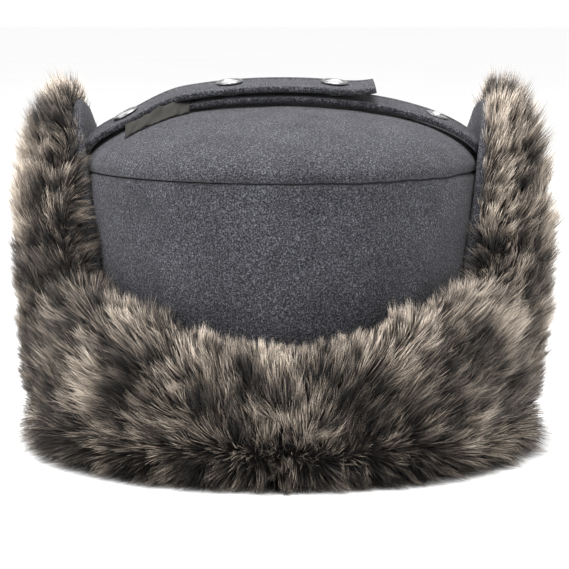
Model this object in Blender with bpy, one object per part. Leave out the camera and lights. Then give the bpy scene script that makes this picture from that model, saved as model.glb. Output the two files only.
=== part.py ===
"""Trapper hat with its fur cuff turned up and its two straps snapped over the crown.

The hat's front faces +Y, its left side is -X, and it stands on z = 0.
"""

import math

import bmesh
import bpy
from mathutils import Vector

# Crown, outside of the wool, in metres: half-widths (X) and half-depths (Y).
HEM_HALF = (0.090, 0.111)
SEAM_HALF = (0.097, 0.116)
HEM_Z = 0.010
SEAM_Z = 0.135
CROWN_TOP = 0.167

# Layers of the crown, from the outside in.
WOOL = 0.0025
BATTING = 0.0030
LINING = 0.0010
SWEATBAND = 0.0015
SWEATBAND_HEIGHT = 0.032
LAYER_GAP = 0.0003

# Cuff: facing of wool next to the crown, batting, then fur.
CUFF_GAP = 0.0010
CUFF_WOOL = 0.0025
CUFF_BATTING = 0.0022
CUFF_PLAY = 0.0006
FUR_PILE = 0.0300
CUFF_FOOT = 0.004
FUR_OVER = 0.011
PANEL_GAP = 0.0004
EAR_REACH = 0.060
NECK_REACH = 0.050
NECK_HEIGHT = 0.055
CORNER_HEIGHT = 0.078
EAR_HEIGHT = 0.167
FRONT_HEIGHT = 0.066

# Straps and snaps.
LABEL_PLAY = 0.0008
STRAP_WIDTH = 0.026
STRAP_THICK = 0.0032
STRAP_ROOT_X = 0.0954
STRAP_ROOT_SLANT = 0.0017
STRAP_Y = -0.018
STRAP_TILT = math.radians(8.0)
STRAP_LIFT = 0.0022
STRAP_STACK = 0.0019
STRAP_END_X = 0.0450
STRAP_FREE_X = 0.0270
STRAP_SPRING = 0.0032
SNAP_X = 1.5 * 0.0490
SNAP_PITCH = 0.0490
SNAP_R = 0.0065
SNAP_BASE_R = 0.0055
SNAP_PLAY = 0.0004
TAPE = (0.0068, 0.0008, 0.030)
TAPE_TILT = math.radians(38.0)

WOOL_GREY = (0.085, 0.088, 0.100)
WOOL_DARK = (0.065, 0.066, 0.076)
FUR_BROWN = (0.190, 0.150, 0.120)
LINING_BLUE = (0.050, 0.060, 0.085)
BATTING_WHITE = (0.70, 0.69, 0.65)
SWEAT_BLACK = (0.030, 0.030, 0.035)
METAL = (0.55, 0.54, 0.52)
TAPE_OLIVE = (0.15, 0.15, 0.12)
LABEL_CREAM = (0.62, 0.60, 0.54)

CUFF_IN = CUFF_GAP
CUFF_MID = CUFF_IN + CUFF_WOOL + CUFF_PLAY
CUFF_FUR = CUFF_MID + CUFF_BATTING + LAYER_GAP


def clear_scene():
    for obj in list(bpy.data.objects):
        bpy.data.objects.remove(obj, do_unlink=True)


def material(name, colour, roughness, metallic=0.0):
    mat = bpy.data.materials.new(name)
    mat.use_nodes = True
    bsdf = mat.node_tree.nodes["Principled BSDF"]
    bsdf.inputs["Base Color"].default_value = (*colour, 1.0)
    bsdf.inputs["Roughness"].default_value = roughness
    bsdf.inputs["Metallic"].default_value = metallic
    mat.diffuse_color = (*colour, 1.0)
    return mat


def pivot(name, at, parent=None):
    empty = bpy.data.objects.new(name, None)
    bpy.context.scene.collection.objects.link(empty)
    empty.empty_display_size = 0.02
    empty["at"] = at
    empty.parent = parent
    empty.location = Vector(at) - (Vector(parent["at"]) if parent else Vector())
    return empty


def node(name, verts, faces, mat, holder=None):
    """One closed piece; its origin is the holder's, on the joint's axis."""
    at = Vector(holder["at"]) if holder else Vector()
    bm = bmesh.new()
    points = [bm.verts.new(Vector(v) - at) for v in verts]
    for face in faces:
        bm.faces.new([points[i] for i in face])
    bmesh.ops.recalc_face_normals(bm, faces=bm.faces)
    mesh = bpy.data.meshes.new(name)
    bm.to_mesh(mesh)
    bm.free()
    mesh.materials.append(mat)
    obj = bpy.data.objects.new(name, mesh)
    bpy.context.scene.collection.objects.link(obj)
    obj.parent = holder
    return obj


def strip(rows, closed=False):
    """Faces that join rows of points into a tube, capped at both ends unless it closes on itself."""
    count, wide = len(rows), len(rows[0])
    verts = [p for row in rows for p in row]
    faces = []
    for i in range(count if closed else count - 1):
        j = (i + 1) % count
        for k in range(wide):
            m = (k + 1) % wide
            faces.append((i * wide + k, i * wide + m, j * wide + m, j * wide + k))
    if not closed:
        faces.append(tuple(range(wide)))
        faces.append(tuple(range((count - 1) * wide, count * wide)))
    return verts, faces


def ring(z, out):
    """Half-width and half-depth of the ring that stands `out` beyond the crown's wool at height z."""
    t = min(max((z - HEM_Z) / (SEAM_Z - HEM_Z), 0.0), 1.0)
    lean = t * (2.0 - t)
    return [h + (s - h) * lean + out for h, s in zip(HEM_HALF, SEAM_HALF)]


def place(side, angle, z, out):
    """The point at height z on that ring; angle 0 is the middle of the back."""
    a, b = ring(z, out)
    phi = angle(a, b)
    return side * a * math.sin(phi), -b * math.cos(phi), z


def at_x(x):
    return lambda a, b: math.asin(x / a)


def at_y(y):
    return lambda a, b: math.acos(-y / b)


def between(first, last, share):
    return lambda a, b: first(a, b) + (last(a, b) - first(a, b)) * share


def front_arc(y, share):
    def angle(a, b):
        edge = math.acos(-y / b)
        return edge + (2.0 * math.pi - 2.0 * edge) * share
    return angle


def cloth_section(inner, outer, foot, top, steps=5):
    heights = [foot + (top - foot) * k / steps for k in range(steps + 1)]
    return [(inner, z) for z in heights] + [(outer, z) for z in reversed(heights)]


def fur_section(top):
    inner, pile = CUFF_FUR, FUR_PILE
    shape = [
        (0.00, 0.0), (0.80, 0.0), (0.95, 0.010), (1.00, 0.26 * top), (1.00, 0.50 * top),
        (0.95, 0.70 * top), (0.84, 0.86 * top), (0.60, 0.96 * top), (0.28, top), (0.0, 0.985 * top),
    ]
    levels = [0.985 * top * k / 4 for k in (3, 2, 1)]
    return [(inner + pile * f, z) for f, z in shape] + [(inner, z) for z in levels]


def panel(name, side, columns, section_at, mat, holder=None):
    """A curved panel: one section of points per column, joined along the crown."""
    rows = [
        [place(side, angle, z, out) for out, z in section_at(height)] for angle, height in columns
    ]
    return node(name, *strip(rows), mat, holder)


def cuff(prefix, side, columns_at, holder=None, floor_foot=CUFF_FOOT):
    """Facing, batting and fur of one part of the cuff. columns_at(inset) gives its columns."""
    wool = lambda top: cloth_section(CUFF_IN, CUFF_IN + CUFF_WOOL, floor_foot, top)
    fill = lambda top: cloth_section(CUFF_MID, CUFF_MID + CUFF_BATTING, floor_foot + 0.003, top - 0.004)
    panel(prefix + "_facing", side, columns_at(0.0), wool, MATS["wool"], holder)
    panel(prefix + "_batting", side, columns_at(0.0015), fill, MATS["batting"], holder)
    panel(prefix + "_fur", side, columns_at(0.0), lambda top: fur_section(top + FUR_OVER), MATS["fur"], holder)


EAR_OUTLINE = (
    (-1.00, 0.00), (-0.90, 0.20), (-0.76, 0.48), (-0.60, 0.75), (-0.42, 0.91), (-0.21, 0.98), (0.0, 1.00),
    (0.21, 1.00), (0.42, 0.96), (0.60, 0.85), (0.76, 0.65), (0.90, 0.36), (1.00, 0.00),
)


def ear_columns(inset):
    reach = EAR_REACH - PANEL_GAP / 2 - inset
    rise = EAR_HEIGHT - CORNER_HEIGHT
    return [(at_y(f * reach), CORNER_HEIGHT + rise * h) for f, h in EAR_OUTLINE]


def neck_columns(inset):
    reach = NECK_REACH - PANEL_GAP / 2 - inset
    count = 8
    shares = [2.0 * k / count - 1.0 for k in range(count + 1)]
    return [(at_x(s * reach), NECK_HEIGHT + 0.010 * s * s) for s in shares]


def gusset_columns(inset):
    first = at_x(NECK_REACH + PANEL_GAP / 2 + inset)
    last = at_y(-EAR_REACH - PANEL_GAP / 2 - inset)
    count = 4
    low = NECK_HEIGHT + 0.010
    return [
        (between(first, last, k / count), low + (CORNER_HEIGHT - low) * k / count)
        for k in range(count + 1)
    ]


def front_columns(inset):
    edge = EAR_REACH + PANEL_GAP / 2 + inset
    count = 16
    return [
        (front_arc(edge, k / count), FRONT_HEIGHT + 0.008 * math.sin(math.pi * k / count))
        for k in range(count + 1)
    ]


def crown_profile(inset, foot):
    """(half-width, half-depth, height) up the wall, from the foot to the seam, inset from the wool's face."""
    heights = [foot + (SEAM_Z - foot) * k / 5 for k in range(6)]
    return [(*ring(z, -inset), z) for z in heights]


def dome_profile(inset, steps=6):
    """The same over the tip, from the seam to the pole."""
    a, b = ring(SEAM_Z, -inset)
    rise = CROWN_TOP - SEAM_Z - inset
    rows = []
    for k in range(steps + 1):
        turn = 0.5 * math.pi * k / steps
        rows.append((a * math.cos(turn), b * math.cos(turn), SEAM_Z + rise * math.sin(turn)))
    return rows


def around(row, phi):
    a, b, z = row
    return a * math.sin(phi), -b * math.cos(phi), z


def wall(name, outer, thick, foot, mat, first=0.0, last=2.0 * math.pi, top=None, count=32):
    """A layer of the crown's wall, all the way round or from one angle to another."""
    whole = last - first > 6.28
    lines = []
    for inset in (outer, outer + thick):
        rows = crown_profile(inset, foot)
        lines.append([r for r in rows if top is None or r[2] < top] + ([(*ring(top, -inset), top)] if top else []))
    profile = lines[0] + lines[1][::-1]
    steps = count if whole else count + 1
    angles = [first + (last - first) * k / count for k in range(steps)]
    return node(name, *strip([[around(r, p) for r in profile] for p in angles], closed=whole), mat)


def cap_layer(name, outer, thick, mat, count=32):
    """A layer of the tip: two domes joined at the seam."""
    shells = [dome_profile(inset)[:-1] for inset in (outer, outer + thick)]
    poles = [(0.0, 0.0, CROWN_TOP - inset) for inset in (outer, outer + thick)]
    rows = shells[0][::-1] + shells[1]
    verts = [around((a, b, z), 2.0 * math.pi * k / count) for k in range(count) for a, b, z in rows]
    wide = len(rows)
    faces = []
    for k in range(count):
        j = (k + 1) % count
        for m in range(wide - 1):
            faces.append((k * wide + m, k * wide + m + 1, j * wide + m + 1, j * wide + m))
        faces.append((len(verts), k * wide, j * wide))
        faces.append((len(verts) + 1, j * wide + wide - 1, k * wide + wide - 1))
    return node(name, verts + poles, faces, mat)


def dome_height(x, y=0.0):
    a, b = SEAM_HALF
    return SEAM_Z + (CROWN_TOP - SEAM_Z) * math.sqrt(max(0.0, 1.0 - (x / a) ** 2 - (y / b) ** 2))


def smooth(t):
    t = min(max(t, 0.0), 1.0)
    return t * t * (3.0 - 2.0 * t)


def strap_climb(x, upper):
    """How far the upper strap stands off, square to the strap, where it runs over the lower one."""
    if not upper:
        return 0.0
    over = (STRAP_THICK + STRAP_STACK) * smooth((x + STRAP_END_X + 0.034) / 0.032)
    return over + STRAP_SPRING * max(0.0, (x - STRAP_FREE_X) / (STRAP_END_X - STRAP_FREE_X)) ** 2


def strap_floor(x, upper):
    """Height of the middle of a strap's underside."""
    return dome_height(x) + STRAP_LIFT + strap_climb(x, upper) * math.cos(STRAP_TILT)


def strap_y(x, upper):
    return STRAP_Y - strap_climb(x, upper) * math.sin(STRAP_TILT)


def strap_normal(slope):
    """Out of the strap's top face; the strap leans back with its rear edge lower."""
    return Vector((-slope, -math.tan(STRAP_TILT), 1.0)).normalized()


def strap(name, side, upper, holder):
    """A strap from its flap's face, over the crown, to a square end past the middle."""
    count = 22
    rows = []
    for k in range(count + 1):
        x = -STRAP_ROOT_X + (STRAP_ROOT_X + STRAP_END_X) * (1.0 - (1.0 - k / count) ** 1.4)
        slope = (strap_floor(x + 1e-4, upper) - strap_floor(x - 1e-4, upper)) / 2e-4
        if k == 0:
            slope = 0.0
        up = strap_normal(slope) * STRAP_THICK
        row = []
        for share, lift in ((-0.5, 0.0), (0.5, 0.0), (0.5, 1.0), (-0.5, 1.0)):
            across = share * STRAP_WIDTH
            at = Vector((x, strap_y(x, upper) + across * math.cos(STRAP_TILT), strap_floor(x, upper)))
            at.z += across * math.sin(STRAP_TILT)
            if k == 0:
                at.x -= 2.0 * share * STRAP_ROOT_SLANT
            at += up * lift
            row.append((-side * at.x, at.y, at.z))
        rows.append(row)
    return node(name, *strip(rows), MATS["strap"], holder)


def disc(name, profile, x, lift, side, upper, mat, holder, count=18):
    """A round snap piece, standing square to the strap. profile: (radius, height) from the axis out and back."""
    slope = (strap_floor(x + 1e-3, upper) - strap_floor(x - 1e-3, upper)) / 2e-3
    normal = strap_normal(slope)
    base = Vector((x, strap_y(x, upper), strap_floor(x, upper))) + normal * lift
    turn = Vector((0.0, 0.0, 1.0)).rotation_difference(normal).to_matrix()
    rows = []
    for k in range(count):
        phi = 2.0 * math.pi * k / count
        row = []
        for r, h in profile:
            point = base + turn @ Vector((r * math.cos(phi), r * math.sin(phi), h))
            row.append((-side * point.x, point.y, point.z))
        rows.append(row)
    on_axis = [m for m, (r, _) in enumerate(profile) if r == 0.0]
    if not on_axis:
        return node(name, *strip(rows, closed=True), mat, holder)
    inner = [row[1:-1] for row in rows]
    wide = len(inner[0])
    verts = [p for row in inner for p in row] + [rows[0][0], rows[0][-1]]
    faces = []
    for k in range(count):
        j = (k + 1) % count
        faces += [(k * wide + m, k * wide + m + 1, j * wide + m + 1, j * wide + m) for m in range(wide - 1)]
        faces.append((len(verts) - 2, k * wide, j * wide))
        faces.append((len(verts) - 1, j * wide + wide - 1, k * wide + wide - 1))
    return node(name, verts, faces, mat, holder)


def snaps(side, upper, word, holder):
    """Three snaps on a strap. The upper strap has a cap and a socket at each, the lower a stud and a post."""
    g = SNAP_PLAY / 2
    top = STRAP_THICK
    cap = [(0.0, 0.0), (SNAP_R, 0.0), (SNAP_R, 0.0006), (0.0058, 0.0012), (0.0048, 0.0012),
           (0.0040, 0.0007), (0.0, 0.0007)]
    socket = [(0.0026, 0.0), (SNAP_BASE_R, 0.0), (SNAP_BASE_R, -0.0008), (0.0026, -0.0008)]
    stud = [(0.0, 0.0), (SNAP_BASE_R, 0.0), (SNAP_BASE_R, 0.0004), (0.0020, 0.0005), (0.0021, 0.0010),
            (0.0018, 0.0013), (0.0, 0.0013)]
    post = [(0.0, 0.0), (SNAP_BASE_R, 0.0), (SNAP_BASE_R, -0.0006), (0.0, -0.0006)]
    for k in range(3):
        x = -SNAP_X + k * SNAP_PITCH
        x -= strap_climb(x, upper) * (dome_height(x + 1e-3) - dome_height(x - 1e-3)) / 2e-3
        if upper:
            disc(f"snap_cap_{word}_{k + 1}", cap, x, top + g, side, upper, MATS["metal"], holder)
            disc(f"snap_socket_{word}_{k + 1}", socket, x, -g, side, upper, MATS["metal"], holder)
        else:
            disc(f"snap_stud_{word}_{k + 1}", stud, x, top + g, side, upper, MATS["metal"], holder)
            disc(f"snap_post_{word}_{k + 1}", post, x, -g, side, upper, MATS["metal"], holder)


def tape_tab(holder):
    """A short wrinkled tape sewn into the lower strap's free end."""
    wide, thick, long = TAPE
    slope = (dome_height(-STRAP_END_X + 1e-3) - dome_height(-STRAP_END_X - 1e-3)) / 2e-3
    start = STRAP_END_X + 0.0004 + STRAP_THICK * slope
    rows = []
    for k in range(13):
        x = -start - long * k / 12
        y = -0.0340 - 0.0150 * k / 12
        low = Vector((x, y, dome_height(x, y) + 0.0008 + 0.0003 * math.sin(2.6 * k)))
        across = Vector((0.0, math.cos(TAPE_TILT), math.sin(TAPE_TILT))) * wide
        up = Vector((0.0, -math.sin(TAPE_TILT), math.cos(TAPE_TILT))) * thick
        rows.append([tuple(low + move) for move in (Vector(), across, across + up, up)])
    return node("tape_tab", *strip(rows), MATS["tape"], holder)


def label():
    """A blank woven label on the lining, inside the back."""
    inset = WOOL + BATTING + LINING + 3 * LAYER_GAP + LABEL_PLAY
    rows = []
    for k in range(5):
        x = -0.016 + 0.032 * k / 4
        row = []
        for z, out in ((0.060, 0.0), (0.082, 0.0), (0.082, 0.0006), (0.060, 0.0006)):
            a, b = ring(z, -inset - out)
            row.append((x, -b * math.sqrt(1.0 - (x / a) ** 2), z))
        rows.append(row)
    return node("blank_label", *strip(rows), MATS["label"])


clear_scene()
MATS = {
    "wool": material("melton_wool", WOOL_GREY, 0.95),
    "strap": material("strap_wool", WOOL_DARK, 0.95),
    "fur": material("faux_fur", FUR_BROWN, 0.90),
    "lining": material("quilted_lining", LINING_BLUE, 0.45),
    "batting": material("batting", BATTING_WHITE, 1.0),
    "sweatband": material("sweatband", SWEAT_BLACK, 0.8),
    "metal": material("snap_metal", METAL, 0.35, 1.0),
    "tape": material("tape", TAPE_OLIVE, 0.8),
    "label": material("label", LABEL_CREAM, 0.8),
}

wall("crown_band_back", 0.0, WOOL, HEM_Z, MATS["wool"], -math.pi / 2 + 0.002, math.pi / 2 - 0.002, SEAM_Z - 0.0002)
wall("crown_band_front", 0.0, WOOL, HEM_Z, MATS["wool"], math.pi / 2 + 0.002, 1.5 * math.pi - 0.002, SEAM_Z - 0.0002)
cap_layer("crown_tip", 0.0, WOOL, MATS["wool"])
depth = WOOL + LAYER_GAP
wall("band_batting", depth, BATTING, HEM_Z + 0.003, MATS["batting"], top=SEAM_Z - 0.0002)
cap_layer("tip_batting", depth, BATTING, MATS["batting"])
depth += BATTING + LAYER_GAP
wall("lining_band", depth, LINING, HEM_Z + 0.002, MATS["lining"], top=SEAM_Z - 0.0002)
cap_layer("lining_tip", depth, LINING, MATS["lining"])
depth += LINING + LAYER_GAP
wall("sweatband", depth, SWEATBAND, HEM_Z + 0.002, MATS["sweatband"], top=HEM_Z + SWEATBAND_HEIGHT)
label()

cuff("front", 1, front_columns)
neck_pivot = pivot("neck_fold", (0.0, -HEM_HALF[1], CUFF_FOOT))
cuff("neck", 1, neck_columns, neck_pivot)
corner = place(1, between(at_x(NECK_REACH), at_y(-EAR_REACH), 0.5), CUFF_FOOT, 0.0)
for side, word in ((-1, "left"), (1, "right")):
    gusset_pivot = pivot(f"{word}_gusset_fold", (side * corner[0], corner[1], CUFF_FOOT))
    cuff(f"{word}_gusset", side, gusset_columns, gusset_pivot)
    ear_pivot = pivot(f"{word}_ear_fold", (side * HEM_HALF[0], 0.0, CUFF_FOOT))
    cuff(f"{word}_ear", side, ear_columns, ear_pivot)
    upper = side < 0
    root = (side * STRAP_ROOT_X, STRAP_Y, strap_floor(-STRAP_ROOT_X, upper) + STRAP_THICK / 2)
    strap_pivot = pivot(f"{word}_strap_swing", root, ear_pivot)
    strap(f"{word}_strap", side, upper, strap_pivot)
    snaps(side, upper, word, strap_pivot)
    if not upper:
        tape_tab(strap_pivot)
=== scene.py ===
"""Looks for the trapper hat: wool crown, quilted lining, fur cuff, straps and snaps, on a pale studio floor.

The hat's front faces +Y, its left side is -X, and it stands on z = 0. All sizes are in metres.
"""

import math

import bpy
import numpy as np
from bpy.props import (
    FloatProperty,
    FloatVectorProperty,
    PointerProperty,
)
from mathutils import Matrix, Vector, noise


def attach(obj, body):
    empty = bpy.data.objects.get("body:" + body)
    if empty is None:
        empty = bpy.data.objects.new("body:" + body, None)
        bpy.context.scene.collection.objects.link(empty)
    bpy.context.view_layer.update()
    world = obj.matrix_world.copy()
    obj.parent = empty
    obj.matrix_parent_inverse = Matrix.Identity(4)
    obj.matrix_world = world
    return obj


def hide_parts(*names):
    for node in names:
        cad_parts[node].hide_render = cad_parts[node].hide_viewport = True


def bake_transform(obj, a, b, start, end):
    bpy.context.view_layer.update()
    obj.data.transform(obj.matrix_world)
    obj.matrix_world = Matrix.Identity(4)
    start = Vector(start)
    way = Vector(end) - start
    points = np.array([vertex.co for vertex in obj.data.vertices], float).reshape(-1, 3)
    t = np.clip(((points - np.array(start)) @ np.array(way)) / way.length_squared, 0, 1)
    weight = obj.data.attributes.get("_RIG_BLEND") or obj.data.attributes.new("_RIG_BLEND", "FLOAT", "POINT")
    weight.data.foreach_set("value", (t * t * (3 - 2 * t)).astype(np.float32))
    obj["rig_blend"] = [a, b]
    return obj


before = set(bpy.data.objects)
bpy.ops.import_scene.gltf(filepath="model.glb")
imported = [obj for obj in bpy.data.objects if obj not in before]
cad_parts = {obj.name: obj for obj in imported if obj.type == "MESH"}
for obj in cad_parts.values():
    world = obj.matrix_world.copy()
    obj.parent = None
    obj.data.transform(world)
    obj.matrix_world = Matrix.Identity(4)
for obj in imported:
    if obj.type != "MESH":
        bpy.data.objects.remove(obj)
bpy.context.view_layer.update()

bl_info = {
    "name": "Trapper Hat",
    "version": (1, 0, 0),
    "blender": (4, 5, 0),
    "location": "3D View > Sidebar > Trapper Hat",
    "description": "Builds a trapper hat with a wool crown, a turned-up fur cuff and snap straps",
    "category": "Add Mesh",
}

# The crown's outside: half-widths and half-depths at the hem and at the seam.
HEM_HALF = (0.090, 0.111)
SEAM_HALF = (0.097, 0.116)
HEM_Z = 0.010
SEAM_Z = 0.135
CROWN_TOP = 0.167
LINING_INSET = 0.0061
BAND_INSET = 0.0074
SWEATBAND_TOP = 0.042

# The cuff, outwards from the crown.
CUFF_IN = 0.0010
CUFF_FUR = 0.0066
FUR_PILE = 0.0300
CUFF_FOOT = 0.004
PANEL_GAP = 0.0004
EAR_REACH = 0.060
NECK_REACH = 0.050
NECK_HEIGHT = 0.055
CORNER_HEIGHT = 0.078
EAR_HEIGHT = 0.167
FRONT_HEIGHT = 0.066
EAR_OUTLINE = (
    (-1.00, 0.00), (-0.90, 0.20), (-0.76, 0.48), (-0.60, 0.75), (-0.42, 0.91), (-0.21, 0.98), (0.0, 1.00),
    (0.21, 1.00), (0.42, 0.96), (0.60, 0.85), (0.76, 0.65), (0.90, 0.36), (1.00, 0.00),
)

# Straps and snaps.
STRAP_WIDTH = 0.026
STRAP_THICK = 0.0032
STRAP_ROOT_X = 0.0954
STRAP_ROOT_SLANT = 0.0017
STRAP_Y = -0.018
STRAP_TILT = math.radians(8.0)
STRAP_LIFT = 0.0022
STRAP_STACK = 0.0019
STRAP_END_X = 0.0450
STRAP_FREE_X = 0.0270
STRAP_SPRING = 0.0032
SNAP_PITCH = 0.0490
TAPE = (0.0068, 0.0008, 0.030)
TAPE_TILT = math.radians(38.0)


# ---------------------------------------------------------------- shapes

def ring(z, out):
    """Half-width and half-depth of the ring that stands `out` beyond the crown's wool at height z."""
    t = min(max((z - HEM_Z) / (SEAM_Z - HEM_Z), 0.0), 1.0)
    lean = t * (2.0 - t)
    return [h + (s - h) * lean + out for h, s in zip(HEM_HALF, SEAM_HALF)]


def place(side, angle, z, out):
    """The point at height z on that ring; angle 0 is the middle of the back."""
    a, b = ring(z, out)
    phi = angle(a, b)
    return Vector((side * a * math.sin(phi), -b * math.cos(phi), z))


def at_x(x):
    return lambda a, b: math.asin(x / a)


def at_y(y):
    return lambda a, b: math.acos(-y / b)


def between(first, last, share):
    return lambda a, b: first(a, b) + (last(a, b) - first(a, b)) * share


def front_arc(y, share):
    def angle(_, b):
        edge = math.acos(-y / b)
        return edge + (2.0 * math.pi - 2.0 * edge) * share
    return angle


def smooth(t):
    t = min(max(t, 0.0), 1.0)
    return t * t * (3.0 - 2.0 * t)


def ear_top(share):
    xs, hs = zip(*EAR_OUTLINE)
    return CORNER_HEIGHT + (EAR_HEIGHT - CORNER_HEIGHT) * float(np.interp(share, xs, hs))


def ear_columns(count, first=-1.0, last=1.0, inset=0.0):
    reach = EAR_REACH - PANEL_GAP / 2 - inset
    shares = [first + (last - first) * k / count for k in range(count + 1)]
    return [(at_y(s * reach), ear_top(s)) for s in shares]


def neck_columns(count, first=-1.0, last=1.0, inset=0.0):
    reach = NECK_REACH - PANEL_GAP / 2 - inset
    shares = [first + (last - first) * k / count for k in range(count + 1)]
    return [(at_x(s * reach), NECK_HEIGHT + 0.010 * s * s) for s in shares]


def gusset_columns(count, inset=0.0):
    first = at_x(NECK_REACH + PANEL_GAP / 2 + inset)
    last = at_y(-EAR_REACH - PANEL_GAP / 2 - inset)
    low = NECK_HEIGHT + 0.010
    return [
        (between(first, last, k / count), low + (CORNER_HEIGHT - low) * k / count)
        for k in range(count + 1)
    ]


def front_columns(count, first=0.0, last=1.0, inset=0.0):
    edge = EAR_REACH + PANEL_GAP / 2 + inset
    shares = [first + (last - first) * k / count for k in range(count + 1)]
    return [(front_arc(edge, s), FRONT_HEIGHT + 0.008 * math.sin(math.pi * s)) for s in shares]


def dome_height(x, y=0.0):
    a, b = SEAM_HALF
    return SEAM_Z + (CROWN_TOP - SEAM_Z) * math.sqrt(max(0.0, 1.0 - (x / a) ** 2 - (y / b) ** 2))


def tube_faces(count, wide, closed, capped=True):
    """Faces that join rows of points into a tube, which may close on itself or have capped ends."""
    faces = []
    for i in range(count if closed else count - 1):
        j = (i + 1) % count
        for k in range(wide):
            m = (k + 1) % wide
            faces.append((i * wide + k, i * wide + m, j * wide + m, j * wide + k))
    if capped and not closed:
        faces.append(tuple(range(wide)))
        faces.append(tuple(range((count - 1) * wide, count * wide)))
    return faces


def mesh_object(name, verts, faces, materials, attributes=None, soft_edges=True):
    """A closed piece at the origin, with its faces turned outwards."""
    import bmesh

    mesh = bpy.data.meshes.new(name)
    mesh.from_pydata([tuple(v) for v in verts], [], faces)
    for key, (kind, values) in (attributes or {}).items():
        layer = mesh.attributes.new(key, kind, "POINT")
        field = "vector" if kind == "FLOAT_VECTOR" else "value"
        layer.data.foreach_set(field, np.ravel(values).astype(np.float32))
    bm = bmesh.new()
    bm.from_mesh(mesh)
    bmesh.ops.recalc_face_normals(bm, faces=bm.faces)
    bm.to_mesh(mesh)
    bm.free()
    for material in materials:
        mesh.materials.append(material)
    if soft_edges:
        mesh.shade_smooth()
    obj = bpy.data.objects.new(name, mesh)
    bpy.context.scene.collection.objects.link(obj)
    return obj


def tube_object(name, rows, materials, closed=False, capped=True, attributes=None):
    verts = [p for row in rows for p in row]
    faces = tube_faces(len(rows), len(rows[0]), closed, capped)
    return mesh_object(name, verts, faces, materials, attributes)


def finish_piece(obj, body, slot_name, *nodes):
    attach(obj, body)
    if nodes:
        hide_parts(*nodes)
    return obj


def ripple(point, scale, seed=0.0):
    """Smooth noise from -1 to 1 at a point, for folds and puckers."""
    return noise.noise(Vector(point) * scale + Vector((seed, 2.0 * seed, -seed)))


# ---------------------------------------------------------------- node helpers

def named(sockets, name):
    """The live socket of that name or place."""
    if isinstance(name, int):
        return sockets[name]
    return next(s for s in sockets if s.name == name and s.enabled)


class Graph:
    """A node tree with short calls to add nodes and join them."""

    def __init__(self, tree):
        self.tree = tree

    def add(self, kind, inputs=None, out=0, **settings):
        node = self.tree.nodes.new(kind)
        for key, value in settings.items():
            setattr(node, key, value)
        for key, value in (inputs or {}).items():
            socket = named(node.inputs, key)
            if isinstance(value, bpy.types.NodeSocket):
                self.tree.links.new(value, socket)
            else:
                socket.default_value = value
        return node if out is None else named(node.outputs, out)

    def math(self, operation, a, b=0.0, clamp=False):
        return self.add("ShaderNodeMath", {0: a, 1: b}, operation=operation, use_clamp=clamp)

    def vector(self, operation, a, b=None, out=0):
        inputs = {0: a} if b is None else {0: a, 1: b}
        return self.add("ShaderNodeVectorMath", inputs, out=out, operation=operation)

    def scaled(self, a, factor):
        return self.add("ShaderNodeVectorMath", {0: a, "Scale": factor}, operation="SCALE")

    def ramp(self, factor, stops):
        node = self.add("ShaderNodeValToRGB", {0: factor}, out=None)
        marks = node.color_ramp.elements
        while len(marks) < len(stops):
            marks.new(0.5)
        for mark, (at, colour) in zip(marks, stops):
            mark.position = at
            mark.color = (*colour, 1.0)
        return node.outputs[0]

    def mix(self, factor, a, b, blend="MIX"):
        node = self.tree.nodes.new("ShaderNodeMix")
        node.data_type = "RGBA"
        node.blend_type = blend
        for key, value in (("Factor", factor), ("A", a), ("B", b)):
            socket = next(s for s in node.inputs if s.name == key and s.enabled)
            if isinstance(value, bpy.types.NodeSocket):
                self.tree.links.new(value, socket)
            elif key == "Factor":
                socket.default_value = value
            else:
                socket.default_value = (*value, 1.0)
        return next(s for s in node.outputs if s.enabled)


def finish_material(name, roughness, metallic=0.0, sheen=0.0, specular=0.5, sheen_roughness=0.5):
    """A new material: (material, its graph, its shader)."""
    material = bpy.data.materials.new(name)
    material.use_nodes = True
    shader = material.node_tree.nodes["Principled BSDF"]
    shader.inputs["Roughness"].default_value = roughness
    shader.inputs["Metallic"].default_value = metallic
    shader.inputs["Sheen Weight"].default_value = sheen
    shader.inputs["Sheen Roughness"].default_value = sheen_roughness
    shader.inputs["Specular IOR Level"].default_value = specular
    return material, Graph(material.node_tree), shader


def material_called(name, build):
    return bpy.data.materials.get(name) or build(name)


def bumped(graph, shader, height, strength, distance):
    bump = graph.add("ShaderNodeBump", {"Height": height, "Strength": strength, "Distance": distance})
    graph.tree.links.new(bump, shader.inputs["Normal"])


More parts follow.
